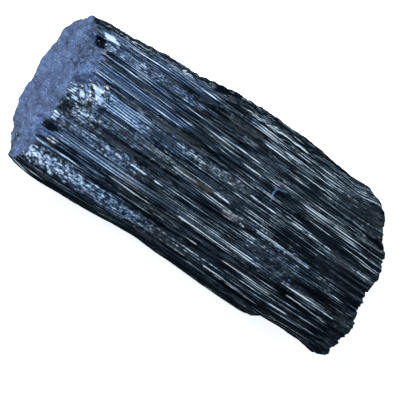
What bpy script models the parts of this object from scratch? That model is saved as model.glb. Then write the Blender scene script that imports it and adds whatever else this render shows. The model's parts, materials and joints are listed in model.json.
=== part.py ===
"""A black tourmaline (schorl) crystal lying on its widest prism face.

The crystal is one solid. Its c axis runs along X: the dull flat termination is at -X and the splintered
break is at +X. The prism faces carry ribs and grooves that run the length of the crystal. Near the
termination some ribs stand proud and the valleys between them slope down to the end face.

Sizes in this file are millimetres until settle() turns them into metres. A place on the prism is given by
"along", the distance from the termination, and "around", the distance round the cross-section from its
sharp top left edge, over the top, down the right flank, across the foot and up the left flank.
"""

import math
import random
from bisect import bisect_right
from collections import namedtuple

import bmesh
import bpy
from mathutils import Matrix, Vector, noise
from mathutils.geometry import delaunay_2d_cdt

MM = 0.001

# Driving dimensions
LENGTH = 79.5
RIGHT_REACH = 18.0  # from the axis to the right flank, in the cross-section below
LEFT_REACH = 16.5
AXIS_HEIGHT = 13.0
FLANK_START = 9.0  # the ribs run straight inside this distance from the axis, the flanks bend outside it
SEED = 11

# The cross-section at mid length as (y, z) corners, from the sharp top left edge clockwise. The foot is a
# little below zero, and the crystal is flat wherever it would go below zero.
CROSS_SECTION = (
    (-15.0, 24.0),
    (-9.0, 25.4),
    (-2.0, 26.4),
    (5.0, 26.8),
    (10.5, 25.6),
    (14.2, 22.4),
    (16.8, 17.6),
    (RIGHT_REACH, 12.0),
    (16.2, 5.0),
    (11.0, -0.2),
    (-10.5, -0.2),
    (-15.2, 4.5),
    (-LEFT_REACH, 11.0),
    (-16.3, 18.5),
)
TOP_END = 12.8  # y where the top face ends and the right shoulder begins

# (along, reach): how far the right and left flanks stand from the axis
RIGHT_PROFILE = (
    (0, 15.9), (2, 16.6), (6, 17.1), (12, 17.1), (17, 17.6), (25, 17.6), (31, 18.2), (37, 18.9),
    (41, 19.3), (48, 19.1), (56, 18.8), (63, 18.6), (70, 18.1), (75, 17.6), (78, 16.9), (LENGTH, 16.2),
)
LEFT_PROFILE = (
    (0, 15.4), (3, 16.2), (8, 16.5), (26, 16.0), (31, 15.7), (38, 16.2), (62, 16.5), (70, 16.2), (LENGTH, 16.5),
)
HEIGHT_PROFILE = ((0, 0.94), (6, 0.98), (20, 1.0), (45, 1.01), (70, 0.98), (LENGTH, 0.95))

# (y, along): the line of each end, seen from above
TERMINATION_LINE = ((-16, 3.2), (-11, 1.5), (-6, -0.1), (-1, -0.3), (5, -0.5), (8, -0.1), (11, -0.4), (16, 0.4))
BREAK_LINE = (
    (-16.5, 79.8), (-12.5, 80.2), (-8.5, 80.4), (-4.5, 79.5), (-1.0, 78.8),
    (3.0, 79.3), (7.0, 78.3), (12.0, 75.4), (16.5, 72.7),
)
TERMINATION_BEND = 9.0  # length over which the prism follows the line of the termination
BREAK_BEND = 20.0

# A rib stands out by height between two places across the face. A negative height is a groove.
Rib = namedtuple("Rib", "near far height start end fade")
# A ramp is where a valley floor slopes down to the termination.
Ramp = namedtuple("Ramp", "near far length depth")
# A chip is a flat-sided hollow or, with a negative depth, a lump.
Chip = namedtuple("Chip", "place along half_width half_length depth")

WALL = 0.3  # width of a rib's side, seen from above
STEP = 0.5  # length over which a rib starts

# Top face, placed by y, from the left edge to the right shoulder
TOP_RIBS = (
    Rib(-14.9, -11.2, 1.1, -1, 19, 13),  # broad edge rib with the crumbled crest
    Rib(-13.4, -11.2, -0.5, 41, 60, 6),
    Rib(-10.6, -9.0, -1.7, 1, 22, 16),  # deepest groove
    Rib(-10.6, -9.0, 0.45, 50, 99, 6),
    Rib(-8.7, -7.0, -0.5, -1, 48, 10),
    Rib(-6.4, -4.1, 0.8, -1, 17, 7),  # rib with the free end
    Rib(-6.4, -4.1, -0.5, 33, 48, 3),
    Rib(-3.7, -2.4, -0.8, 1, 26, 4),
    Rib(-2.4, -0.6, -0.3, -1, 9, 2),
    Rib(-0.2, 1.3, -0.5, 7, 38, 3),
    Rib(-0.2, 1.3, 0.35, 46, 76, 4),
    Rib(1.7, 4.5, 0.3, 6.8, 17, 4),  # smooth flat band
    Rib(1.7, 4.5, -0.35, 30, 58, 9),
    Rib(5.0, 6.3, -0.7, 2, 38, 6),
    Rib(6.8, 8.6, 0.2, -1, 31, 6),
    Rib(6.8, 8.6, 0.45, 43, 71, 3),
    Rib(9.0, 10.2, -0.55, 2, 38, 5),
    Rib(10.8, 11.6, -0.6, 2, 36, 5),
    Rib(10.8, 11.6, -0.5, 48, 74, 5),
    Rib(12.0, 13.3, 0.5, 3.2, 22, 4),
    Rib(-9.0, -1.7, 0.35, 51, 62, 2),  # raised patch near the broken end
    Rib(-15.0, -7.0, -0.5, 62, 99, 1),  # step down beyond the cross fracture
)
# Right shoulder and left flank, placed by the distance round
EDGE_RIBS = (
    Rib(31.0, 32.1, -0.8, 5, 28, 4),
    Rib(32.9, 34.2, 0.45, -1, 60, 5),
    Rib(35.0, 36.4, -0.6, 4, 44, 4),
    Rib(37.3, 39.3, 0.5, 14, 50, 6),
)
LEFT_SLAB = Rib(2.4, 11.0, 1.3, -1, 62, 2)  # placed by the distance back from the top left edge

RAMPS = (  # placed by y
    Ramp(-10.8, -6.8, 4.6, 3.6),
    Ramp(5.0, 12.2, 2.7, 3.2),
)
CHIPS = (  # placed by y
    Chip(13.0, 0.9, 1.7, 2.4, 2.2),  # dark pit beside the upper ribs
    Chip(3.4, 2.0, 2.2, 4.6, 2.2),
    Chip(1.0, 2.4, 1.7, 3.2, 1.6),
    Chip(-1.6, 3.2, 1.4, 3.6, 1.2),
    Chip(-2.6, 6.2, 1.1, 1.8, -0.7),
    Chip(-13.4, 1.2, 0.9, 1.6, 0.7),
    Chip(14.6, 74.5, 2.0, 3.5, 1.3),
    Chip(-5.0, 61.5, 1.6, 1.8, 0.7),
    Chip(5.6, 50.6, 0.9, 1.4, 0.5),
)

HIDDEN_RIB_WIDTH = (1.7, 4.0)
HIDDEN_RIB_HEIGHT = (-0.75, 0.55)
COLUMN_GAP = 1.8  # widest gap between two columns of vertices
LEAST_GAP = 0.29
FACET_RELIEF = 0.16  # small uneven steps on every prism face
FOOT_LIFT = 0.7  # how far the foot curves up at both ends
FOOT_BEND = 5.0
LIFT_TOP = 13.0  # the foot's lift fades out at this height

LUMP_GAP = 3.4  # between the low lumps of the termination
TERMINATION_RELIEF = 0.35
BREAK_GAP = 1.55  # between the corners of the facets of the break
SPLINTER_WIDTH = 4.8
SPLINTER_RELIEF = 1.7
RIM_RELIEF = 0.5  # share of the splinters' relief at the rim of the break
BREAK_DISH = 0.9


def interpolate(table, at):
    """The value at a place in a table of (place, value), with straight runs between them."""
    places = [row[0] for row in table]
    i = min(max(bisect_right(places, at), 1), len(table) - 1)
    (x0, y0), (x1, y1) = table[i - 1], table[i]
    share = min(max((at - x0) / (x1 - x0), 0.0), 1.0)
    return y0 + (y1 - y0) * share


class Outline:
    """The cross-section as a closed line that is read by the distance round it."""

    def __init__(self, corners):
        self.corners = [Vector(c) for c in corners]
        self.starts = [0.0]
        for a, b in zip(self.corners, self.corners[1:] + self.corners[:1]):
            self.starts.append(self.starts[-1] + (b - a).length)
        self.length = self.starts[-1]

    def point(self, around):
        around %= self.length
        i = bisect_right(self.starts, around) - 1
        a, b = self.corners[i], self.corners[(i + 1) % len(self.corners)]
        return a.lerp(b, (around - self.starts[i]) / (self.starts[i + 1] - self.starts[i]))

    def outward(self, around, reach=0.8):
        run = self.point(around + reach) - self.point(around - reach)
        return Vector((-run.y, run.x)).normalized()

    def around_at(self, y):
        """The distance round to a place on the top face, given by its y."""
        for i, (a, b) in enumerate(zip(self.corners, self.corners[1:])):
            if a.x <= y <= b.x:
                return self.starts[i] + (y - a.x) / (b.x - a.x) * (b - a).length
        raise ValueError("y is off the top face")


def placed_ribs(outline):
    """Every rib with its place given by the distance round."""
    ribs = [r._replace(near=outline.around_at(r.near), far=outline.around_at(r.far)) for r in TOP_RIBS]
    ribs += EDGE_RIBS
    ribs.append(LEFT_SLAB._replace(near=outline.length - LEFT_SLAB.far, far=outline.length - LEFT_SLAB.near))
    return ribs + hidden_ribs(EDGE_RIBS[-1].far + 1.2, outline.length - LEFT_SLAB.far - 1.0)


def hidden_ribs(first, last):
    """Ribs and grooves by rule on the right flank, the foot and the left flank."""
    rng = random.Random(SEED)
    ribs = []
    near = first
    while near < last:
        far = min(near + rng.uniform(*HIDDEN_RIB_WIDTH), last)
        start = rng.choice((-1, -1, rng.uniform(4, 30)))
        end = rng.uniform(start + 25, LENGTH + 20)
        ribs.append(Rib(near, far, rng.uniform(*HIDDEN_RIB_HEIGHT), start, end, rng.uniform(1, 8)))
        near = far + 2 * WALL + rng.uniform(0.4, 1.8)
    return ribs


def column_places(outline, ribs):
    """Distances round where the columns of vertices stand: at rib edges and corners, with wide gaps filled."""
    wanted = set(outline.starts[:-1])
    for rib in ribs:
        wanted |= {rib.near - WALL, rib.near, rib.far, rib.far + WALL}
    kept = []
    for place in sorted(p % outline.length for p in wanted):
        if not kept or place - kept[-1] >= LEAST_GAP:
            kept.append(place)
    if outline.length - kept[-1] < LEAST_GAP:
        kept.pop()
    filled = []
    for near, far in zip(kept, kept[1:] + [outline.length]):
        parts = math.ceil((far - near) / COLUMN_GAP)
        filled += [near + (far - near) * i / parts for i in range(parts)]
    return filled


def stations():
    """Distances along where the rings of vertices stand: close at the termination and at the break."""
    near_end = [0, 0.6, 1.4, 2.5, 3.7, 5.2, 7.2, 9.8]
    far_end = [LENGTH - back for back in (7.5, 4.6, 2.4, 1.0, 0)]
    fracture = [60.6, 62.4, 64.4]
    middle = [12.8 + 3.2 * i for i in range(20)]
    rings = [m for m in middle if m < far_end[0] - 1 and all(abs(m - f) > 1.2 for f in fracture)]
    return sorted(near_end + rings + fracture + far_end)


def rib_height(rib, around, along):
    gap = max(rib.near - around, around - rib.far, 0.0)
    across = max(1 - gap / WALL, 0.0)
    begun = min(max((along - rib.start) / STEP, 0.0), 1.0)
    left = min(max((rib.end + rib.fade - along) / rib.fade, 0.0), 1.0)
    return rib.height * across * begun * left


def ramp_depth(ramp, around, along):
    if along >= ramp.length:
        return 0.0
    middle, half = (ramp.near + ramp.far) / 2, (ramp.far - ramp.near) / 2
    across = min(max((half + WALL - abs(around - middle)) / (4 * WALL), 0.0), 1.0)
    return ramp.depth * across * (1 - along / ramp.length)


def chip_depth(chip, around, along):
    off = max(abs(around - chip.place) / chip.half_width, abs(along - chip.along) / chip.half_length)
    return chip.depth * max(1 - off, 0.0) ** 0.8


def flank_shift(y, station):
    """How far a place near a flank moves out or in, so that the flank follows its profile."""
    right = interpolate(RIGHT_PROFILE, station) - RIGHT_REACH
    left = LEFT_REACH - interpolate(LEFT_PROFILE, station)
    shift, reach = (right, RIGHT_REACH) if y > 0 else (left, LEFT_REACH)
    return shift * min(max((abs(y) - FLANK_START) / (reach - FLANK_START), 0.0), 1.0)


class Prism:
    """The side of the crystal: where its surface stands at each distance round and along."""

    def __init__(self):
        self.outline = Outline(CROSS_SECTION)
        self.ribs = placed_ribs(self.outline)
        place = self.outline.around_at
        self.ramps = [r._replace(near=place(r.near), far=place(r.far)) for r in RAMPS]
        self.chips = [c._replace(place=self.place_of_chip(c.place)) for c in CHIPS]
        self.columns = column_places(self.outline, self.ribs)

    def place_of_chip(self, y):
        top = self.outline.around_at(min(y, TOP_END))
        return top + 1.4 * max(y - TOP_END, 0.0)

    def relief(self, around, along):
        total = sum(rib_height(r, around, along) for r in self.ribs)
        total += FACET_RELIEF * noise.noise(Vector((around * 1.9, along * 0.05, SEED)))
        total += FACET_RELIEF * noise.noise(Vector((around * 0.7, along * 0.28, SEED + 5)))
        return total

    def point(self, around, station):
        base = self.outline.point(around)
        off = self.outline.outward(around) * self.relief(around, station)
        y = base.x + flank_shift(base.x, station) + off.x
        z = base.y * interpolate(HEIGHT_PROFILE, station) + off.y
        z -= sum(ramp_depth(r, around, station) for r in self.ramps)
        z -= sum(chip_depth(c, around, station) for c in self.chips)
        lift = FOOT_LIFT * max(1 - min(station, LENGTH - station) / FOOT_BEND, 0.0) ** 2
        z = max(z, 0.0) + lift * max(1 - z / LIFT_TOP, 0.0)
        return Vector((along_at(station, y, z), y, z))


def along_at(station, y, z):
    """Rings near each end lean to follow its line."""
    at_start = max(1 - station / TERMINATION_BEND, 0.0) * termination_along(y, z)
    rim = interpolate(BREAK_LINE, y)
    rim += RIM_RELIEF * (break_along(y, z) - rim)
    return station + at_start + max(1 - (LENGTH - station) / BREAK_BEND, 0.0) * (rim - LENGTH)


def termination_along(y, z):
    """Where the end face stands, with low swells. Its lower part follows the line of the termination."""
    low = min(max(1 - (z - 2) / 14, 0.0), 1.0)
    swell = noise.noise(Vector((y * 0.16, z * 0.16, SEED)))
    lumps = noise.noise(Vector((y * 0.55, z * 0.55, SEED + 3)))
    return low * interpolate(TERMINATION_LINE, y) + TERMINATION_RELIEF * (swell + 0.7 * lumps)


def inside(spot, rim, margin):
    """True where a spot is inside a closed line and at least the margin from every corner of it."""
    crossings = 0
    for a, b in zip(rim, rim[1:] + rim[:1]):
        if (spot - a).length < margin:
            return False
        if (a.y > spot.y) != (b.y > spot.y):
            crossings += spot.x < a.x + (spot.y - a.y) / (b.y - a.y) * (b.x - a.x)
    return crossings % 2 == 1


def spots_inside(rim, gap):
    """Places (y, z) scattered evenly inside a rim."""
    rng = random.Random(SEED + 1)
    count = math.ceil(40 / gap)
    jitter = 0.32 * gap
    spots = []
    for i in range(count):
        for j in range(count):
            y = -20 + i * gap + rng.uniform(-jitter, jitter)
            z = (j + 0.5 * (i % 2)) * gap + rng.uniform(-jitter, jitter)
            spots.append(Vector((y, z)))
    return [s for s in spots if inside(s, rim, 0.4 + 0.35 * gap)]


def break_along(y, z):
    """Where the broken end stands. Each splinter, a cell of the cross-section, ends at its own length."""
    middle = noise.voronoi(Vector((y, z * 1.3, SEED)) / SPLINTER_WIDTH)[1][0]
    splinter = abs(noise.cell(middle * 31.7)) ** 1.5
    tilt = 0.12 * noise.cell(middle * 17.3) * (z - AXIS_HEIGHT)
    dish = BREAK_DISH * noise.noise(Vector((y * 0.09, z * 0.09, SEED + 8)))
    return interpolate(BREAK_LINE, y) - SPLINTER_RELIEF * splinter + 0.1 * tilt - dish


def close_end(bm, ring, gap, along_of):
    """Facets over an end, between its rim and the places scattered inside it."""
    flat = [v.co.yz for v in ring]
    verts = list(ring)
    for spot in spots_inside(flat, gap):
        verts.append(bm.verts.new((along_of(*spot), *spot)))
        flat.append(spot)
    edges = [(i, (i + 1) % len(ring)) for i in range(len(ring))]
    triangles, sources = delaunay_2d_cdt(flat, edges, [], 1, 1e-7)[2:4]
    for triangle in triangles:
        bm.faces.new([verts[sources[i][0]] for i in triangle])


def crystal_mesh():
    prism = Prism()
    bm = bmesh.new()
    rings = [[bm.verts.new(prism.point(c, s)) for c in prism.columns] for s in stations()]
    for first, second in zip(rings, rings[1:]):
        for i, vert in enumerate(first):
            j = (i + 1) % len(first)
            bm.faces.new((first[j], vert, second[i], second[j]))
    close_end(bm, rings[0], LUMP_GAP, termination_along)
    close_end(bm, rings[-1], BREAK_GAP, break_along)
    bmesh.ops.recalc_face_normals(bm, faces=bm.faces)
    bmesh.ops.triangulate(bm, faces=bm.faces)
    mesh = bpy.data.meshes.new("crystal")
    bm.to_mesh(mesh)
    bm.free()
    return mesh


def settle(mesh):
    """Turns millimetres into metres, with the origin under the middle of the crystal's box."""
    low = Vector(min(v.co[i] for v in mesh.vertices) for i in range(3))
    high = Vector(max(v.co[i] for v in mesh.vertices) for i in range(3))
    foot = Vector(((low.x + high.x) / 2, (low.y + high.y) / 2, low.z))
    mesh.transform(Matrix.Scale(MM, 4) @ Matrix.Translation(-foot))


def schorl():
    material = bpy.data.materials.new("schorl")
    material.use_nodes = True
    shader = material.node_tree.nodes["Principled BSDF"]
    shader.inputs["Base Color"].default_value = (0.018, 0.022, 0.030, 1.0)
    shader.inputs["Roughness"].default_value = 0.3
    shader.inputs["Metallic"].default_value = 0.0
    shader.inputs["IOR"].default_value = 1.64
    return material


def main():
    for old in list(bpy.data.objects):
        bpy.data.objects.remove(old)
    mesh = crystal_mesh()
    settle(mesh)
    mesh.materials.append(schorl())
    crystal = bpy.data.objects.new("crystal", mesh)
    bpy.context.scene.collection.objects.link(crystal)


main()
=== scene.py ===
# A black tourmaline crystal on a pale floor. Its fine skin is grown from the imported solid.
import json
import math

import bpy
import numpy as np
from mathutils import Matrix, Vector

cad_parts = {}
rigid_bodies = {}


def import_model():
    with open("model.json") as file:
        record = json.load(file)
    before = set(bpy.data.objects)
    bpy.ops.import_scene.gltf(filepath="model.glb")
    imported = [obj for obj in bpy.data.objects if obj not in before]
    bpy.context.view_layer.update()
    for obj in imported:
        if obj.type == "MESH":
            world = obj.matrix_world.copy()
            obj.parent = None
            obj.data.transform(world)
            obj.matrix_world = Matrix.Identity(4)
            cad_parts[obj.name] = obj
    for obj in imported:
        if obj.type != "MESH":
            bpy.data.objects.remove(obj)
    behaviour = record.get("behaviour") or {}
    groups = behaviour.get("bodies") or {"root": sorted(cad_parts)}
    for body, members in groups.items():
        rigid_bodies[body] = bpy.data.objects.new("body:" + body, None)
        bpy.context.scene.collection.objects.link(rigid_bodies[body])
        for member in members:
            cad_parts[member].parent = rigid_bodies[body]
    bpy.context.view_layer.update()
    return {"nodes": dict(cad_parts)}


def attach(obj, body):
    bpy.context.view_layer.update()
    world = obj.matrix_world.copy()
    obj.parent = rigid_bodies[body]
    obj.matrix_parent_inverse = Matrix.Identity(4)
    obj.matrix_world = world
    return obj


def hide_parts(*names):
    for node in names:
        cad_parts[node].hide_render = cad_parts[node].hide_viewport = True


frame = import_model()
print("frame loaded")

mm = 0.001
# where the flat end and the long axis of the crystal are, in the frame
crystal = {"endX": -39.9 * mm, "axisY": -0.91 * mm}


def clearSelection():
    if bpy.context.object and bpy.context.object.mode != "OBJECT":
        bpy.ops.object.mode_set(mode="OBJECT")
    bpy.ops.object.select_all(action="DESELECT")


def makeActive(obj):
    clearSelection()
    obj.select_set(True)
    bpy.context.view_layer.objects.active = obj


def applyModifiers(obj):
    makeActive(obj)
    for modifier in list(obj.modifiers):
        bpy.ops.object.modifier_apply(modifier=modifier.name)


def ramp(value, start, end):
    # 0 at start, 1 at end, smooth between them
    share = np.clip((value - start) / (end - start), 0, 1)
    return share * share * (3 - 2 * share)


def within(value, low, high, fade):
    # 1 between low and high, fading to 0 outside them
    return ramp(value, low - fade, low) * ramp(-value, -high - fade, -high)


def triangleCount(obj):
    return sum(len(p.vertices) - 2 for p in obj.data.polygons)


# what the skin is made by. A plain length is in mm
skin = {
    "voxel": 0.205 * mm,
    "merge": 0.001 * mm,
    "squeeze": 0.42,  # the skin's cells are this much shorter across than along
    "triangles": 190000,
    # how far out and how high the shoulders are, where the way round the crystal turns down
    "shoulders": {"left": (16.6, 20.0), "right": (15.6, 18.6)},
    "flankShare": 0.75,  # how much a step outwards past a shoulder adds to the way round
    "underside": -0.5,  # a point that faces down more than this is on the underside
    "girth": 100.0,  # how long the way round is taken to be, so that a pattern closes on itself
    "slant": 0.045,  # how far the needles drift across in each mm along
    "slantMiddle": 40,
    "slantSide": (-16, 2),  # the drift grows from the left flank to here
    "upper": (14, 19),  # the marks of the top fade in between these heights
    "wobble": {"across": 0.16, "along": 1.0},  # how uneven the edges of the marks are
    "smoothAngle": 30,
}


def growSkin():
    makeActive(frame["nodes"]["crystal"])
    bpy.ops.object.duplicate()
    piece = bpy.context.object
    piece.name = "crystalSkin"
    piece.data.name = "crystalSkin"
    makeActive(piece)
    bpy.ops.object.parent_clear(type="CLEAR_KEEP_TRANSFORM")
    bpy.ops.object.mode_set(mode="EDIT")
    bpy.ops.mesh.select_all(action="SELECT")
    bpy.ops.mesh.remove_doubles(threshold=skin["merge"])
    bpy.ops.transform.resize(value=(skin["squeeze"], 1, 1), center_override=(0, 0, 0))
    bpy.ops.object.mode_set(mode="OBJECT")
    remesh = piece.modifiers.new("cells", "REMESH")
    remesh.mode = "VOXEL"
    remesh.voxel_size = skin["voxel"]
    applyModifiers(piece)
    bpy.ops.object.mode_set(mode="EDIT")
    bpy.ops.mesh.select_all(action="SELECT")
    bpy.ops.transform.resize(value=(1 / skin["squeeze"], 1, 1), center_override=(0, 0, 0))
    bpy.ops.object.mode_set(mode="OBJECT")
    return piece


piece = growSkin()
print("skin", len(piece.data.polygons), "cells")


class Places:
    # where every point of the skin is, in mm
    def __init__(self, piece):
        count = len(piece.data.vertices)
        spots = np.empty(count * 3)
        normals = np.empty(count * 3)
        piece.data.vertices.foreach_get("co", spots)
        piece.data.vertices.foreach_get("normal", normals)
        spots, normals = spots.reshape(-1, 3), normals.reshape(-1, 3)
        self.along = (spots[:, 0] - crystal["endX"]) / mm  # from the flat end
        self.across = (spots[:, 1] - crystal["axisY"]) / mm  # from the long axis
        self.high = spots[:, 2] / mm
        self.facing = normals[:, 0]
        self.level = normals[:, 2]
        # round the crystal from the middle of its top, left is below zero
        side = np.abs(self.across)
        isLeft = self.across < 0
        leftOut, leftUp = skin["shoulders"]["left"]
        rightOut, rightUp = skin["shoulders"]["right"]
        out = np.where(isLeft, leftOut, rightOut)
        drop = np.where(isLeft, leftUp, rightUp) - self.high
        girth = np.minimum(side, out) + skin["flankShare"] * np.maximum(side - out, 0)
        girth += 0.5 * (drop + np.hypot(drop, 1))  # turns down softly at the shoulder
        girth += np.where(self.level < skin["underside"], 2 * np.maximum(out - side, 0), 0)
        drift = skin["slant"] * (self.along - skin["slantMiddle"])
        drift *= ramp(self.across, *skin["slantSide"])
        self.around = np.sign(self.across) * girth + drift
        self.upper = ramp(self.high, *skin["upper"])
        # wobbled places, so that the marks below have uneven edges
        sway = np.sin(self.along * 1.7 + 3) + np.sin(self.along * 0.61)
        sway += 0.8 * np.sin(self.along * 4.1 + self.across)
        run = np.sin(self.across * 2.9 + 1) + np.sin(self.across * 6.3)
        run += 0.7 * np.sin(self.across * 11 + self.along)
        self.nearby = self.across + skin["wobble"]["across"] * sway
        self.beyond = self.along + skin["wobble"]["along"] * run


places = Places(piece)

# rough places on the prism, in mm: from the flat end, to, from the axis, to, strength
crumbled = [
    (-1, 9, -15.2, -11.7, 1.0),  # crest of the edge rib
    (9, 31, -15.2, -12.6, 0.6),
    (3, 25, 12.0, 13.6, 0.65),  # upper speckled rib
    (3, 9, 14.8, 17.0, 0.5),
    (4, 24, 15.8, 18.6, 0.35),  # shoulder ledge
    (0, 9, -3.7, -0.5, 1.0),  # pitted lumps by the flat end
    (0, 6, -0.4, 4.8, 0.75),  # chipped facets
    (26, 42, 2.7, 4.0, 0.6),
    (14, 26, -2.4, 1.4, 0.45),
    (19, 27, 3.2, 6.2, 0.35),
    (34, 38, 12.6, 14.4, 0.5),
    (50, 63, -4.4, -2.6, 0.6),  # raised patch near the broken end
    (50.5, 58, -7.0, -4.4, 0.5),
    (56, 64, -8.8, -6.0, 0.55),
    (1, 6, -6.3, -4.2, 0.6),
    (10, 22, -6.3, -4.0, 0.6),
    (33, 37, -1.3, -0.3, 0.4),  # scar
    (41.8, 44.8, -3.3, -2.0, 0.8),
    (32, 44, -15.0, -12.6, 0.4),
    (62, 80, 10, 14, 0.4),
    (66, 80, -3.5, 3, 0.35),
    (76, 80, -17, -6, 0.5),
]
# how much lighter or darker than the rest, partly painted light and shade: from the flat end, to, from
# the axis, to, lift
paintedLightAndTone = [
    # painted highlight on the crest of the edge rib
    (-1, 13, -14.2, -12.5, 0.17),
    (13, 20, -14.4, -13.0, 0.06),
    (20, 31, -15.2, -12.9, 0.12),
    (0, 40, -12.3, -10.3, -0.28),  # painted shade in the groove beside the edge rib
    (-1, 40, -10.2, -9.1, -0.08),
    (2, 22, -8.7, -6.7, 0.08),
    (-1, 18, -6.3, -4.2, 0.03),
    (22, 36, -9.0, -6.0, 0.10),
    (-1, 26, -3.8, -2.3, -0.20),
    (6, 16, 1.7, 4.5, 0.10),
    (2, 38, 5.1, 6.1, -0.09),
    (3, 26, 8.9, 10.2, -0.17),
    (3, 30, 10.4, 11.6, -0.05),
    (4, 30, 6.7, 8.6, 0.04),
    (3, 25, 12.0, 13.6, -0.01),
    (3, 24, 13.9, 14.8, -0.12),
    (26, 42, 2.7, 4.0, 0.14),
    (41.8, 44.8, -3.2, -2.1, 0.25),
    (50, 64, -9.0, -3.4, -0.13),
    (4, 18, 15.0, 17.5, 0.13),
    (26, 40, 5, 14.5, -0.32),
    (46, 72, 4, 14.5, -0.07),
    (16, 28, 7.4, 14.8, -0.11),
    (46, 76, -1.5, 3.9, -0.17),
    (40, 53, -10.0, -6.0, -0.12),
    # painted shade along the upper edge
    (28, 40, 16.4, 30, -0.22),
    (42, 62, 17.8, 30, -0.15),
    (63, 76, -11, -1, -0.22),
    (72, 80, 3, 14.5, -0.14),
    (44, 76, -15.4, -9, -0.15),
    (74, 80, -20, 14, -0.20),
    (60, 76, 12.4, 18, 0.06),
    (-1, 8, -2.2, -0.6, -0.06),
    # painted shade on the flank under the edge rib, towards the broken end
    (44, 80, -30, -15.6, -0.12),
    (-1, 40, -30, -15.4, -0.22),  # painted shade on the flank under the edge rib
    # painted shade on the other flank
    (-1, 70, 18.5, 30, -0.10),
]
# painted bluish sheen, a reflection of blue light on the ribs by the flat end, fading along them
blueSheenPlaces = [
    (-2, 18, -15.2, 30, 0.55),
    (21, 46, 4, 30, 0.12),
    (21, 38, -8, 4, 0.06),
    (-1, 9, -15.2, -11.6, 0.9),
    (9, 26, -15.3, -12.6, 0.9),
    (-1, 12, -10.9, -8.9, 0.5),
    (-1, 18, -8.8, -6.7, 0.8),
    (-1, 18, -6.5, -4.0, 0.75),
    (-1, 16, -3.9, -2.1, 0.5),
    (-1, 14, -2.0, 1.2, 0.6),
    (2, 17, 1.4, 4.7, 1.0),
    (17, 26, 1.4, 4.7, 0.5),
    (-1, 14, 5.0, 6.3, 0.6),
    (-1, 24, 6.5, 8.7, 1.0),
    (-1, 20, 8.9, 10.4, 0.8),
    (-1, 24, 10.4, 12.0, 0.8),
    (-1, 26, 12.0, 13.7, 0.9),
    (-1, 20, 13.7, 14.7, 0.6),
    (-1, 28, 14.8, 20, 0.8),
    (50, 63, -8.4, -2.4, 0.35),
]
# painted highlights, glints along broken needles: from the flat end, to, from the axis, width
paintedGlints = [
    (37.6, 44.0, 17.2, 0.42),
    (38.5, 43.5, 15.9, 0.2),
    (48.0, 51.4, 14.2, 0.34),
    (42.9, 47.9, 13.7, 0.3),
    (33.2, 42.2, 9.8, 0.18),
    (39.6, 43.7, 7.6, 0.3),
    (56.3, 61.6, 7.4, 0.38),
    (58.0, 62.0, 6.8, 0.3),
    (64.6, 69.9, 7.0, 0.3),
    (28.0, 33.0, -0.7, 0.22),
    (31.6, 32.6, -0.8, 0.45),
    (38.0, 41.0, -0.6, 0.3),
    (45.0, 51.0, 2.8, 0.22),
    (45.5, 49.0, 0.4, 0.3),
    (20.0, 22.9, -5.1, 0.3),
    (26.0, 27.4, -5.2, 0.3),
    (48.5, 60.5, -11.4, 0.24),
    (45.5, 59.8, -14.3, 0.26),
    (61.6, 75.0, -8.5, 0.24),
    (64.5, 75.0, -10.2, 0.24),
    (60.0, 66.0, -13.1, 0.24),
    (41.4, 55.0, -7.6, 0.18),
    (56.3, 66.0, 2.8, 0.2),
    (51.0, 60.0, 3.6, 0.16),
    (44.5, 52.0, 17.0, 0.26),
    (50.4, 64.0, -2.4, 0.34),
    (35.0, 48.0, -8.6, 0.22),
    (30.0, 41.0, -10.9, 0.22),
    (3.0, 5.0, 14.4, 0.6),
]

# painted highlights on facets and painted shadows in pits by the flat end: corners along and across,
# going round, and the lift
paintedFacetLights = [
    ([(3.6, 4.5), (6.4, 4.5), (6.2, 1.9)], 0.48),
    ([(2.9, 4.8), (3.3, 4.8), (5.4, 1.8), (5.0, 1.6)], 0.6),
    ([(3.2, 4.4), (3.6, 4.4), (5.8, 1.9), (5.5, 1.7)], -0.5),
    ([(0.5, 1.4), (1.7, 1.9), (2.2, 0.9), (1.0, 0.5)], 0.38),
    ([(2.4, 2.3), (3.6, 2.0), (4.2, 1.0), (2.9, 0.9)], 0.5),
    ([(1.4, 0.3), (2.8, 0.6), (3.3, -0.2), (1.8, -0.5)], 0.42),
    ([(0.4, 0.4), (1.3, 0.3), (1.2, -0.5), (0.4, -0.4)], -0.3),
    ([(1.8, 15.0), (4.7, 15.0), (4.9, 14.2), (2.4, 13.8)], 0.66),
    ([(-0.6, -3.9), (1.0, -3.9), (1.4, -5.8), (-0.6, -5.8)], 0.35),
    ([(4.6, -1.3), (6.4, -1.8), (7.6, -3.0), (5.4, -3.6)], 0.30),
    ([(-0.6, -11.6), (1.6, -11.9), (2.2, -14.4), (-0.6, -14.6)], 0.15),
    ([(0.2, 13.2), (2.6, 13.4), (3.0, 11.6), (1.2, 11.1)], -0.6),
    ([(-0.6, -6.6), (4.0, -7.0), (2.0, -8.4), (-0.6, -8.0)], -0.45),
    ([(4.7, 1.7), (5.6, 1.9), (6.1, 0.2), (5.0, -0.7)], -0.35),
    ([(0.4, -1.4), (3.4, -1.6), (4.0, -3.4), (0.8, -3.6)], -0.2),
]
# where the fine lines are faint: from the flat end, to, from the axis, to, how faint
smoothed = [
    (6.0, 15.5, 1.7, 4.5, 0.75),
    (2, 17, 6.7, 8.6, 0.3),
    (4, 26, -8.7, -6.8, 0.8),
    (60, 80, 14.5, 20, 0.7),
]
# small stains: from the flat end, to, from the axis, to, strength, colour
stains = [
    (19.5, 24.0, -8.7, -7.5, 0.45, (0.20, 0.15, 0.19)),
    (26.6, 29.5, -7.4, -6.5, 0.5, (0.09, 0.11, 0.07)),
    (28.0, 33.0, -1.1, -0.5, 0.5, (0.12, 0.13, 0.11)),
    (33.0, 37.5, -1.3, -0.4, 0.7, (0.050, 0.042, 0.038)),
    (41.8, 45.0, -3.2, -2.1, 0.45, (0.40, 0.33, 0.36)),
    (60.4, 61.2, -15.5, -7.8, 0.45, (0.004, 0.006, 0.009)),
]
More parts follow.
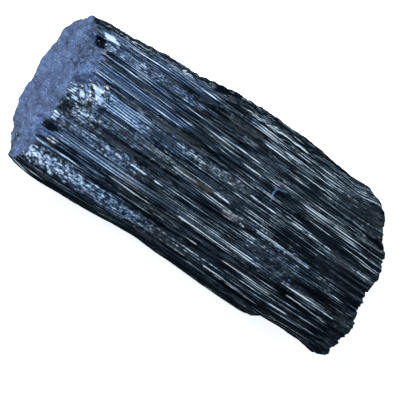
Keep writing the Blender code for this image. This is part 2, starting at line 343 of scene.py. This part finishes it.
# a thin hooked crack in the same terms: start, end, width and strength
crack = [
    ((48.7, 6.9), (48.6, 5.4), 0.2, 0.6),
    ((48.6, 5.4), (49.1, 4.3), 0.2, 0.5),
    ((48.0, 6.8), (50.8, 7.5), 0.15, 0.5),
]
# small changes to the form: a place, its reach and the move, each along, across and up in mm
pulls = [
    ((77, 17, 14), (11, 8, 40), (0.8, 1.7, 0)),
    ((5, 19, 12), (22, 8, 40), (0, -0.6, 0)),
    ((8, -21, 12), (28, 12, 40), (0, -0.6, 0)),
    ((62, -21, 12), (30, 12, 40), (0, -0.6, 0)),
    ((80, -17, 14), (4.5, 4, 40), (0.9, -0.6, 0)),
    ((1.2, 12.2, 19), (2.4, 1.6, 6), (0.8, 0, -1.5)),
    ((1.2, -7.4, 21), (3.6, 1.5, 6), (0.9, 0, -1.6)),
    ((3.0, -2.6, 22), (2.4, 1.6, 5), (0, 0, -0.8)),
    ((5.0, 3.2, 23), (2.2, 1.6, 5), (0, 0, 0.7)),
    ((2.4, 0.8, 23), (2.4, 1.3, 5), (0, 0, 0.5)),
]


# how soft the edges of the marks are, in mm
soft = {
    "start": (1, 0.6),  # a mark grows from this far before its start to this far past it
    "end": 1,  # and starts to fade this far before its end
    "fade": 6,
    "shortFade": 2,
    "side": 0.35,
    "glintEnd": 0.8,
    "glintSide": (0.35, 0.9),  # as shares of a glint's width
    "stainEnd": 0.5,
    "stainSide": 0.3,
    "paintedFacet": (-0.15, 0.2),
}


def strengthAt(table, fade=soft["fade"]):
    # the strongest entry at each point
    most = np.zeros(len(places.along))
    before, past = soft["start"]
    for start, end, near, far, strength in table:
        inside = ramp(places.beyond, start - before, start + past)
        inside *= ramp(-places.beyond, -end - fade, -end + soft["end"])
        inside *= within(places.nearby, near, far, soft["side"]) * strength
        most = np.where(np.abs(inside) > np.abs(most), inside, most)
    return most


# the painted highlights of the facets and painted shadows of the pits, at each point
def paintedFacetLightAt():
    most = np.zeros(len(places.along))
    for corners, lift in paintedFacetLights:
        inside = np.ones(len(places.along))
        for (x, y), (nextX, nextY) in zip(corners, corners[1:] + corners[:1]):
            # how far inside this side, the corners going clockwise
            depth = (nextY - y) * (places.along - x) - (nextX - x) * (places.across - y)
            depth /= math.hypot(nextX - x, nextY - y)
            inside = np.minimum(inside, ramp(depth, *soft["paintedFacet"]))
        most = np.where(inside > 0.02, inside * lift, most)
    # none on what faces the flat end
    return most * places.upper * (1 - ramp(-places.facing, 0.5, 0.75))


# the painted highlights along the glints, at each point
def paintedGlintAt():
    most = np.zeros(len(places.along))
    core, rim = soft["glintSide"]
    for start, end, place, width in paintedGlints:
        off = np.abs(places.across - place + skin["slant"] * (places.along - start))
        shine = ramp(-off, -rim * width, -core * width)
        shine *= within(places.along, start, end, soft["glintEnd"])
        most = np.maximum(most, shine)
    return most * places.upper


# how far the dull coat of the flat end climbs onto the prism, in mm: everywhere, in the hollow
# between the upper ribs, on the slopes where valleys run down to the end, and near the floor
climb = {
    "least": 0.4,
    "hollow": {"reach": 2.8, "across": (5.6, 12.2), "fade": 0.5},
    "slopes": [
        {"reach": 3.2, "rise": (0.8, 5.8), "fall": (5.4, 6.6)},
        {"reach": 3.6, "rise": (-10.8, -8.5), "fall": (-8.4, -7.9)},
    ],
    "foot": {"reach": 3, "high": (5, 9)},
    "edge": 0.5,
}


def coatAt():
    hollow, foot = climb["hollow"], climb["foot"]
    reach = climb["least"] + hollow["reach"] * within(places.across, *hollow["across"], hollow["fade"])
    slope = np.zeros(len(places.along))
    for part in climb["slopes"]:
        inner, outer = part["fall"]
        rise = ramp(places.across, *part["rise"])
        slope += part["reach"] * rise * ramp(-places.across, -outer, -inner)
    low, high = foot["high"]
    reach += slope + foot["reach"] * ramp(-places.high, -high, -low)
    # an uneven edge
    reach += 0.35 * np.sin(places.across * 2.1) + 0.25 * np.sin(places.across * 5.3 + 1)
    facing = np.maximum(ramp(-places.facing, 0.25, 0.5), ramp(slope, 0.4, 1.2))
    return facing * ramp(-places.along, -reach - climb["edge"], -reach)


weightSteps = 24  # a vertex group is filled in this many steps


def setWeights(piece, name, weights):
    group = piece.vertex_groups.new(name=name)
    levels = np.rint(weights * weightSteps).astype(int)
    for level in range(1, weightSteps + 1):
        points = np.flatnonzero(levels == level).tolist()
        if points:
            group.add(points, level / weightSteps, "REPLACE")


# where each kind of relief is. Facing is how far a point faces an end, places and fades are in mm,
# and the rest are shares
zones = {
    "facing": (0.45, 0.8),
    "flatEnd": (3, 5),
    "break": (64, 68),
    "foot": (0.15, 1.4),  # relief fades in above the floor, so that the crystal lies flat
    "paintedFacetKeeps": 0.75,  # how much of the crumbling a painted highlight facet or painted shadow pit leaves out
    "strip": {"across": (5.5, 15), "high": (16.5, 22.5), "fade": 1.5, "strength": 0.9},
    "serrated": {"across": (15.4, 17.2), "high": (4, 8), "along": (1, 44), "fade": 3, "least": 0.35},
}


def regions():
    nearEnd, farEnd = zones["flatEnd"]
    flatEnd = ramp(-places.facing, *zones["facing"]) * ramp(-places.along, -farEnd, -nearEnd)
    broken = ramp(places.facing, *zones["facing"]) * ramp(places.along, *zones["break"])
    side = (1 - flatEnd) * (1 - broken) * ramp(places.high, *zones["foot"])
    crumb = side * strengthAt(crumbled) * places.upper
    crumb *= 1 - zones["paintedFacetKeeps"] * ramp(np.abs(paintedFacetLightAt()), 0.1, 0.3)
    # the flat end has a rough strip below its upper rim
    strip = zones["strip"]
    spoiled = flatEnd * within(places.nearby, *strip["across"], strip["fade"])
    wobbled = places.high + places.beyond - places.along
    spoiled *= strip["strength"] * within(wobbled, *strip["high"], strip["fade"])
    jagged = zones["serrated"]
    edge = side * ramp(places.across, *jagged["across"]) * ramp(places.high, *jagged["high"])
    share = within(places.along, *jagged["along"], jagged["fade"])
    edge *= jagged["least"] + (1 - jagged["least"]) * share
    return {
        "prism": side,
        "crumbled": np.maximum(crumb, spoiled) ** 2,
        "flatEnd": flatEnd,
        "break": broken,
        "serrated": edge,
    }


def weighSkin(piece):
    for name, weights in regions().items():
        setWeights(piece, name, weights)


def refineSkin(piece):
    # halves the cells where the skin is rough
    makeActive(piece)
    piece.vertex_groups.active_index = piece.vertex_groups["crumbled"].index
    bpy.ops.object.mode_set(mode="EDIT")
    bpy.ops.mesh.select_all(action="DESELECT")
    bpy.ops.object.vertex_group_select()
    bpy.ops.mesh.subdivide(number_cuts=1)
    bpy.ops.object.mode_set(mode="OBJECT")


def shadeSkin(piece):
    # what the material reads at each point
    areas = regions()
    # the painted light and shade also reach down the sides
    flank = ramp(np.abs(places.across), 12, 15)
    shades = {
        "coat": coatAt(),
        "crumb": np.maximum(np.sqrt(areas["crumbled"]), areas["break"]),
        "paintedBlueSheen": strengthAt(blueSheenPlaces) * places.upper,
        "tone": strengthAt(paintedLightAndTone) * np.maximum(places.upper, flank),
        "glint": paintedGlintAt(),
        "faint": strengthAt(smoothed, soft["shortFade"]) * places.upper,
    }
    # painted highlights and shadows of the facets and pits lift or lower the tone
    paintedFacet = paintedFacetLightAt()
    shades["faint"] = np.maximum(shades["faint"], 0.8 * ramp(np.abs(paintedFacet), 0.1, 0.3))
    shades["tone"] += paintedFacet - 0.12 * areas["break"]  # the broken end is a little darker
    shades["coat"] *= 1 - ramp(np.abs(paintedFacet), 0, 0.15)
    for name, values in shades.items():
        piece.data.attributes.new(name, "FLOAT", "POINT").data.foreach_set("value", values)
    # the way round the crystal as a circle, so that a pattern on it has no seam
    turn = places.around / skin["girth"] * 2 * math.pi
    radius = skin["girth"] / 2 / math.pi
    circle = np.stack((places.along, radius * np.cos(turn), radius * np.sin(turn)), axis=1)
    needle = piece.data.attributes.new("needle", "FLOAT_VECTOR", "POINT")
    needle.data.foreach_set("vector", circle.ravel())
    # stains, each a colour with its strength as alpha
    paint = np.zeros((len(places.along), 4))
    for start, end, near, far, strength, color in stains:
        inside = within(places.along, start, end, soft["stainEnd"])
        inside *= within(places.nearby, near, far, soft["stainSide"])
        inside *= places.upper
        paint[inside > 0, :3] = color
        paint[:, 3] = np.maximum(paint[:, 3], inside * strength)
    stain = piece.data.attributes.new("stain", "FLOAT_COLOR", "POINT")
    stain.data.foreach_set("color", paint.ravel())


weighSkin(piece)
refineSkin(piece)
places = Places(piece)
shadeSkin(piece)
print("skin weighed,", len(piece.data.polygons), "cells")


def pullSkin(piece):
    axes = (places.along, places.across, places.high)
    for number, (spot, reach, move) in enumerate(pulls):
        away = [(axis - at) / size for axis, at, size in zip(axes, spot, reach)]
        distance = np.sqrt(sum(a * a for a in away))
        share = ramp(-distance, -1, -0.2) * ramp(places.high, 0.3, 2)  # the foot stays flat
        name = "pull" + str(number)
        setWeights(piece, name, share)
        for direction, step in zip("XYZ", move):
            if not step:
                continue
            push = piece.modifiers.new(name + direction, "DISPLACE")
            push.direction = direction
            push.mid_level = 0
            push.strength = step * mm
            push.vertex_group = name
        applyModifiers(piece)


pullSkin(piece)
print("form pulled in", len(pulls), "places")

# relief laid over the skin: its kind, its size along and across and its height in mm, and where
reliefs = {
    "rods": {"kind": "rods", "along": 60, "across": 1.5, "height": -0.5, "where": "prism"},
    "thinRods": {"kind": "rods", "along": 40, "across": 0.75, "height": -0.3, "where": "prism"},
    "steps": {"kind": "cells", "along": 40, "across": 1.1, "height": 0.35, "where": "prism"},
    "lumps": {"kind": "clouds", "along": 2.2, "across": 1.7, "height": 1.5, "where": "serrated"},
    "crumbs": {"kind": "clouds", "along": 1.5, "across": 1.1, "height": 1.3, "where": "crumbled"},
    "fineCrumbs": {"kind": "clouds", "along": 0.6, "across": 0.5, "height": 0.5, "where": "crumbled"},
    "swells": {"kind": "clouds", "along": 3, "across": 2.4, "height": 0.5, "where": "flatEnd"},
    "grains": {"kind": "clouds", "along": 0.9, "across": 0.8, "height": 0.2, "where": "flatEnd"},
    "splinters": {"kind": "cells", "along": 9, "across": 1.3, "height": 1.5, "where": "break"},
    "fineSplinters": {"kind": "cells", "along": 3, "across": 0.6, "height": 0.6, "where": "break"},
}
reliefShift = (0.013, 0.007, 0.011)  # moves each pattern on from the one before


def layOut(piece, name, along, across):
    # lays the prism out flat as a UV map, in cells of this size
    layer = piece.data.uv_layers.get(name) or piece.data.uv_layers.new(name=name)
    corners = np.empty(len(piece.data.loops), dtype=int)
    piece.data.loops.foreach_get("vertex_index", corners)
    flat = np.stack((places.along / along, places.around / across), axis=1) / 2
    layer.data.foreach_set("uv", flat[corners].ravel())


def addRelief(piece, name, relief, order):
    if relief["kind"] == "clouds":
        texture = bpy.data.textures.new(name, "CLOUDS")
        texture.noise_depth = 2
    else:
        texture = bpy.data.textures.new(name, "VORONOI")
        texture.color_mode = "POSITION" if relief["kind"] == "cells" else "INTENSITY"
    texture.noise_scale = 1
    push = piece.modifiers.new(name, "DISPLACE")
    push.texture = texture
    push.strength = relief["height"] * mm
    push.mid_level = 0.5
    push.vertex_group = relief["where"]
    if relief["where"] == "break":
        push.direction = "X"
    if relief["where"] == "prism":
        layOut(piece, "prism", relief["along"], relief["across"])
        push.texture_coords = "UV"
        push.uv_layer = "prism"
        applyModifiers(piece)
    else:
        bpy.ops.object.empty_add(location=[shift * order for shift in reliefShift])
        grid = bpy.context.object
        grid.scale = (relief["along"] * mm, relief["across"] * mm, relief["across"] * mm)
        push.texture_coords = "OBJECT"
        push.texture_coords_object = grid
        applyModifiers(piece)
        bpy.data.objects.remove(grid)
    bpy.data.textures.remove(texture)


for order, (name, relief) in enumerate(reliefs.items(), 1):
    addRelief(piece, name, relief, order)
print("relief laid")


def thin(piece):
    # leaves out the cells that the shape needs least
    reduce = piece.modifiers.new("thin", "DECIMATE")
    reduce.ratio = skin["triangles"] / triangleCount(piece)
    applyModifiers(piece)


thin(piece)
print("triangles", triangleCount(piece))

camera = {
    "distance": 0.9,
    "width": 82.7 * mm,  # how much the picture takes in at the aim
    "tilt": 20,  # degrees from straight above, towards the flat end
    "roll": 33,
    "aim": (1.1 * mm, -4.41 * mm, 13 * mm),
    "sensor": 36,
    "clip": (0.01, 10),
}


def addCamera():
    tilt, roll = math.radians(camera["tilt"]), math.radians(camera["roll"])
    back = Vector((-math.sin(tilt), 0, math.cos(tilt)))
    along = Vector((math.cos(tilt), 0, math.sin(tilt)))
    across = Vector((0, 1, 0))
    right = along * math.cos(roll) + across * math.sin(roll)
    up = across * math.cos(roll) - along * math.sin(roll)
    turn = Matrix((right, up, back)).transposed().to_4x4()
    turn.translation = Vector(camera["aim"]) + back * camera["distance"]
    bpy.ops.object.camera_add()
    view = bpy.context.object
    view.name = "camera"
    view.matrix_world = turn
    view.data.sensor_width = camera["sensor"]
    view.data.lens = camera["sensor"] * camera["distance"] / camera["width"]
    view.data.clip_start, view.data.clip_end = camera["clip"]
    bpy.context.scene.camera = view


addCamera()
print("camera placed")


def addNode(tree, kind, values=None, **settings):
    node = tree.nodes.new(kind)
    for name, value in settings.items():
        setattr(node, name, value)
    for name, value in (values or {}).items():
        node.inputs[name].default_value = value
    return node


def addNoise(tree, vector, along, across, detail=2, up=None):
    # noise stretched along the crystal, its sizes in the vector's own unit
    scale = addNode(tree, "ShaderNodeVectorMath", operation="MULTIPLY")
    scale.inputs[1].default_value = (1 / along, 1 / across, 1 / (up or across))
    tree.links.new(vector, scale.inputs[0])
    texture = addNode(tree, "ShaderNodeTexNoise", {"Scale": 1, "Detail": detail})
    tree.links.new(scale.outputs[0], texture.inputs["Vector"])
    return texture.outputs["Fac"]


def addFacets(tree, vector, along, across, **settings):
    # a random value for each small facet
    scale = addNode(tree, "ShaderNodeVectorMath", operation="MULTIPLY")
    scale.inputs[1].default_value = (1 / along, 1 / across, 1 / across)
    tree.links.new(vector, scale.inputs[0])
    texture = addNode(tree, "ShaderNodeTexVoronoi", {"Scale": 1}, **settings)
    tree.links.new(scale.outputs[0], texture.inputs["Vector"])
    parts = addNode(tree, "ShaderNodeSeparateColor")
    tree.links.new(texture.outputs["Color"], parts.inputs[0])
    return parts.outputs[0]


def addLines(tree, vector, count, sway, reach):
    # a whole number of fine lines round the crystal, swaying a little
    parts = addNode(tree, "ShaderNodeSeparateXYZ")
    tree.links.new(vector, parts.inputs[0])
    turn = addMath(tree, "ARCTAN2", parts.outputs["Z"], parts.outputs["Y"])
    turn = addMath(tree, "MULTIPLY", turn, count)
    turn = addMath(tree, "ADD", turn, addMath(tree, "MULTIPLY", sway, reach))
    wave = addMath(tree, "SINE", turn, 0.0)
    return addMath(tree, "ADD", addMath(tree, "MULTIPLY", wave, 0.5), 0.5)


# a stroke lies near this height, and heights are pressed flat so that it follows the ribs under it
stroke = {"high": 23 * mm, "flatten": 0.02, "core": 0.6, "rim": 1.4}


def addStroke(tree, place, start, end, width):
    # 1 on a thin straight mark on the top of the crystal, its ends along and across in mm
    flatten = stroke["flatten"]
    ends = []
    for along, across in (start, end):
        spot = (crystal["endX"] + along * mm, crystal["axisY"] + across * mm, stroke["high"] * flatten)
        ends.append(Vector(spot))
    run = ends[1] - ends[0]
    flat = addNode(tree, "ShaderNodeVectorMath", {1: (1, 1, flatten)}, operation="MULTIPLY")
    tree.links.new(place, flat.inputs[0])
    offset = addNode(tree, "ShaderNodeVectorMath", {1: ends[0]}, operation="SUBTRACT")
    tree.links.new(flat.outputs[0], offset.inputs[0])
    share = addNode(tree, "ShaderNodeVectorMath", {1: run / run.length_squared}, operation="DOT_PRODUCT")
    tree.links.new(offset.outputs[0], share.inputs[0])
    share = addStep(tree, share.outputs["Value"], 0, 1, kind="LINEAR")
    foot = addNode(tree, "ShaderNodeVectorMath", {0: run}, operation="SCALE")
    tree.links.new(share, foot.inputs["Scale"])
    away = addNode(tree, "ShaderNodeVectorMath", operation="DISTANCE")
    tree.links.new(offset.outputs[0], away.inputs[0])
    tree.links.new(foot.outputs[0], away.inputs[1])
    rim, core = stroke["rim"] * width * mm, stroke["core"] * width * mm
    return addStep(tree, away.outputs["Value"], rim, core)


def addStep(tree, value, low, high, bottom=0.0, top=1.0, kind="SMOOTHSTEP"):
    step = addNode(tree, "ShaderNodeMapRange", interpolation_type=kind)
    for name, number in zip(("From Min", "From Max", "To Min", "To Max"), (low, high, bottom, top)):
        step.inputs[name].default_value = number
    tree.links.new(value, step.inputs["Value"])
    return step.outputs["Result"]


def addMath(tree, operation, first, second):
    node = addNode(tree, "ShaderNodeMath", operation=operation)
    for socket, value in zip(node.inputs, (first, second)):
        if isinstance(value, (int, float)):
            socket.default_value = value
        else:
            tree.links.new(value, socket)
    return node.outputs[0]


def addSum(tree, *shares):
    # adds up (value, share) pairs
    total = 0.0
    for value, share in shares:
        total = addMath(tree, "ADD", addMath(tree, "MULTIPLY", value, share), total)
    return total


def addMix(tree, factor, first, second, kind="RGBA"):
    node = addNode(tree, "ShaderNodeMix", data_type=kind)
    sockets = [s for s in node.inputs if s.enabled]
    for socket, value in zip(sockets, (factor, first, second)):
        if isinstance(value, (int, float, tuple)):
            socket.default_value = value
        else:
            tree.links.new(value, socket)
    return next(s for s in node.outputs if s.enabled)


def addRamp(tree, value, stops):
    node = addNode(tree, "ShaderNodeValToRGB")
    colors = node.color_ramp.elements
    while len(colors) < len(stops):
        colors.new(0.5)
    for stop, (position, color) in zip(colors, stops):
        stop.position = position
        stop.color = (*color, 1)
    tree.links.new(value, node.inputs["Fac"])
    return node.outputs["Color"]


schorlFinish = {
    "lines": 200,  # how many fine lines there are round the crystal
    "lineSway": 12,
    "weathered": (0.57, 0.68, 0.0, 0.6),  # from, to, least and most
    "patchy": (1.4, 2.27),  # where the lines turn from weak to strong
    "sharp": (0.485, 0.595),  # the narrower this step, the crisper the lines
    "lineLight": (0.82, 0.30),  # what a strong line adds to a weak one, and the weak one
    "lineDark": -0.06,
    "crumbDark": 0.63,
    "coatDark": -0.15,
    "glintLight": 0.60,
    "worn": (0.61, 0.48, 0, 0.75),  # where the crumbs have lost the coat
    "gloss": (0.1, 0.6, 0.2, 0.5),
    "coatRoughness": 0.8,
    "ior": 1.63,
    "bump": 0.02 * mm,
    "coatBump": 3.0,
    "crack": (0.16, 0.28, 0.48),
    # the light end of these tones is partly painted highlight on the glossy striae
    "tones": [
        (0.15, (0.0003, 0.0012, 0.0026)),
        (0.40, (0.0055, 0.0105, 0.0160)),
        (0.56, (0.034, 0.050, 0.067)),
        (0.72, (0.16, 0.205, 0.245)),
        (0.90, (0.60, 0.66, 0.70)),
    ],
    # the colours of the painted bluish sheen
    "blueSheenTones": [
        (0.15, (0.002, 0.005, 0.010)),
        (0.36, (0.014, 0.028, 0.062)),
        (0.50, (0.068, 0.126, 0.25)),
        (0.68, (0.20, 0.31, 0.48)),
        (0.90, (0.55, 0.66, 0.78)),
    ],
    # the coat's slate blue is partly painted reflection of bluish light
    "coatTones": [
        (0.34, (0.008, 0.017, 0.044)),
        (0.46, (0.034, 0.063, 0.145)),
        (0.56, (0.063, 0.112, 0.245)),
        (0.68, (0.160, 0.245, 0.445)),
    ],
}


def schorlPatterns(tree, place, needle):
    # what the finish is put together from. Sizes along and across are in mm where they are bare
    lineSway = addNoise(tree, needle, 26, 1.3, 1)
    return {
        "bundles": addNoise(tree, needle, 40, 1.0),
        "lines": addLines(tree, needle, schorlFinish["lines"], lineSway, schorlFinish["lineSway"]),
        "hairs": addNoise(tree, needle, 10, 0.2, 0),
        "breaks": addNoise(tree, needle, 9, 0.36, 1),
        "blocks": addFacets(tree, needle, 8, 1.7, distance="CHEBYCHEV"),
        "patches": addNoise(tree, place, 9 * mm, 5 * mm),
        "clumps": addNoise(tree, place, 1.7 * mm, 1.2 * mm, 2),
        "facets": addFacets(tree, place, 0.62 * mm, 0.38 * mm),
        "grit": addFacets(tree, place, 0.34 * mm, 0.26 * mm),
        "weathering": addNoise(tree, needle, 11, 1.5, 3),
        # the flat end's own grain is longer upwards
        "grain": addNoise(tree, place, 0.5 * mm, 0.34 * mm, 2, 0.9 * mm),
        "blotches": addNoise(tree, place, 2.2 * mm, 1.6 * mm, 3, 5 * mm),
    }


def schorlTone(tree, pattern, fields, sharp, crumb):
    # how light each point is: fine lines, stronger in some places than in others. The light lines are
    # partly painted highlights of the glossy striae
    finish = schorlFinish
    amount = addSum(tree, (pattern["breaks"], 1.6), (pattern["patches"], 0.9), (pattern["bundles"], 0.8))
    amount = addStep(tree, amount, *finish["patchy"])
    strong, weak = finish["lineLight"]
    amount = addMath(tree, "ADD", addMath(tree, "MULTIPLY", amount, strong), weak)
    striped = addMath(tree, "MULTIPLY", sharp, amount)
    striped = addSum(tree, (striped, 1.0), (pattern["blocks"], 0.12), (pattern["grit"], 0.14))
    striped = addMath(tree, "ADD", striped, finish["lineDark"])
    even = addSum(tree, (pattern["edge"], 0.75), (pattern["grit"], 0.15), (pattern["blocks"], 0.08))
    striped = addMix(tree, fields["faint"], striped, even, "FLOAT")
    # the light grains on the rough places are partly painted sparkle
    rough = addSum(tree, (pattern["facets"], 0.95), (pattern["grit"], 0.45), (pattern["clumps"], 0.7))
    rough = addMath(tree, "SUBTRACT", rough, finish["crumbDark"])
    tone = addMix(tree, crumb, striped, rough, "FLOAT")
    tone = addSum(tree, (tone, 1.0), (fields["tone"], 1.0), (fields["coat"], finish["coatDark"]))
    # a painted highlight where a glint lies
    bright = addSum(tree, (sharp, 0.7), (pattern["hairs"], 1.1))
    bright = addMath(tree, "MULTIPLY", fields["glint"], bright)
    paintedGlintLight = addMath(tree, "ADD", pattern["breaks"], finish["glintLight"])
    return addMix(tree, bright, tone, paintedGlintLight, "FLOAT")


def schorl():
    material = bpy.data.materials.new("schorl")
    material.use_nodes = True
    tree = material.node_tree
    shader = tree.nodes["Principled BSDF"]
    link = tree.links.new
    finish = schorlFinish
    place = addNode(tree, "ShaderNodeTexCoord").outputs["Object"]
    needle = addNode(tree, "ShaderNodeAttribute", attribute_name="needle").outputs["Vector"]
    fields = {}
    for name in ("coat", "crumb", "paintedBlueSheen", "tone", "glint", "faint"):
        fields[name] = addNode(tree, "ShaderNodeAttribute", attribute_name=name).outputs["Fac"]
    stain = addNode(tree, "ShaderNodeAttribute", attribute_name="stain")
    pattern = schorlPatterns(tree, place, needle)
    pattern["edge"] = addSum(tree, (pattern["lines"], 0.55), (pattern["hairs"], 0.45))
    sharp = addStep(tree, pattern["edge"], *finish["sharp"])
    weathered = addStep(tree, pattern["weathering"], *finish["weathered"])
    crumb = addMath(tree, "MAXIMUM", fields["crumb"], weathered)
    tone = schorlTone(tree, pattern, fields, sharp, crumb)
    color = addRamp(tree, tone, finish["tones"])
    # painted bluish sheen, a reflection of blue light, strongest by the flat end
    color = addMix(tree, fields["paintedBlueSheen"], color, addRamp(tree, tone, finish["blueSheenTones"]))
    # stains, strongest in the light lines
    stained = addSum(tree, (sharp, 0.6), (pattern["facets"], 0.9))
    stained = addMath(tree, "MULTIPLY", stain.outputs["Alpha"], stained)
    color = addMix(tree, stained, color, stain.outputs["Color"])
    for start, end, width, strength in crack:
        mark = addMath(tree, "MULTIPLY", addStroke(tree, place, start, end, width), strength)
        color = addMix(tree, mark, color, (*finish["crack"], 1))
    # the dull coat, worn through on the crumbs. Its slate blue is partly painted reflection of bluish
    # light
    coat = addSum(tree, (pattern["grain"], 0.55), (pattern["blotches"], 0.36), (pattern["grit"], 0.1))
    coat = addRamp(tree, coat, finish["coatTones"])
    worn = addSum(tree, (pattern["clumps"], 0.8), (pattern["facets"], 0.2))
    worn = addMath(tree, "MULTIPLY", fields["crumb"], addStep(tree, worn, *finish["worn"]))
    coated = addMath(tree, "MULTIPLY", fields["coat"], addMath(tree, "SUBTRACT", 1.0, worn))
    color = addMix(tree, coated, color, coat)
    link(color, shader.inputs["Base Color"])
    gloss = addStep(tree, crumb, *finish["gloss"])
    gloss = addMix(tree, coated, gloss, finish["coatRoughness"], "FLOAT")
    link(gloss, shader.inputs["Roughness"])
    shader.inputs["IOR"].default_value = finish["ior"]
    bump = addNode(tree, "ShaderNodeBump", {"Distance": finish["bump"]})
    coatHeight = addMath(tree, "MULTIPLY", pattern["grain"], finish["coatBump"])
    link(addMix(tree, coated, tone, coatHeight, "FLOAT"), bump.inputs["Height"])
    link(bump.outputs["Normal"], shader.inputs["Normal"])
    return material


piece.data.materials.clear()
piece.data.materials.append(schorl())
makeActive(piece)
bpy.ops.object.shade_smooth_by_angle(angle=math.radians(skin["smoothAngle"]))
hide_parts("crystal")
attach(piece, "root")
print("crystal finished")

studioFloor = {
    "size": 6,
    "color": (0.9, 0.9, 0.9),
    "roughness": 0.9,
    "glow": (0.96, 0.98, 1),  # keeps the floor pale where the crystal shades it
    "glowStrength": 0.9,
}


def addFloor():
    bpy.ops.mesh.primitive_plane_add(size=studioFloor["size"], location=(0, 0, 0))
    floor = bpy.context.object
    floor.name = "floor"
    material = bpy.data.materials.new("floor")
    material.use_nodes = True
    shader = material.node_tree.nodes["Principled BSDF"]
    shader.inputs["Base Color"].default_value = (*studioFloor["color"], 1)
    shader.inputs["Roughness"].default_value = studioFloor["roughness"]
    shader.inputs["Emission Color"].default_value = (*studioFloor["glow"], 1)
    shader.inputs["Emission Strength"].default_value = studioFloor["glowStrength"]
    floor.data.materials.append(material)
    floor.visible_glossy = False


addFloor()
print("floor laid")

# soft panels of light: where each is, what it looks at, its sides along and across, and its light
panels = {
    "bluePanel": {
        "place": (0.05, -0.06, 0.36),
        "aim": (0, 0, 0),
        "size": (0.14, 0.24),
        "radiance": 1.2,
        "color": (0.42, 0.66, 1),
    },
    "key": {
        "place": (-0.28, 0.10, 0.34),
        "aim": (-0.01, 0, 0.01),
        "size": (0.16, 0.22),
        "radiance": 22,
        "color": (0.86, 0.94, 1),
    },
    "backStrip": {
        "place": (0.2, 0.45, 0.35),
        "aim": (0, 0, 0),
        "size": (0.8, 0.06),
        "radiance": 8,
        "color": (0.62, 0.84, 1),
    },
}
sky = {"color": (0.4, 0.7, 1), "strength": 0.03}


def addPanel(name, place, aim, size, radiance, color):
    bpy.ops.object.light_add(type="AREA", location=place)
    light = bpy.context.object
    light.name = name
    light.data.shape = "RECTANGLE"
    light.data.size, light.data.size_y = size
    light.data.energy = radiance * size[0] * size[1] * math.pi
    light.data.color = color
    # the panel's first side runs along the crystal
    toLight = (Vector(place) - Vector(aim)).normalized()
    side = (Vector((1, 0, 0)) - toLight * toLight.x).normalized()
    turn = Matrix((side, toLight.cross(side), toLight)).transposed().to_4x4()
    turn.translation = place
    light.matrix_world = turn


def addSky():
    world = bpy.data.worlds.new("studio")
    bpy.context.scene.world = world
    world.use_nodes = True
    background = world.node_tree.nodes["Background"]
    background.inputs["Color"].default_value = (*sky["color"], 1)
    background.inputs["Strength"].default_value = sky["strength"]


for name, panel in panels.items():
    addPanel(name, **panel)
addSky()
bpy.context.scene.view_settings.view_transform = "Standard"
print("lights set")
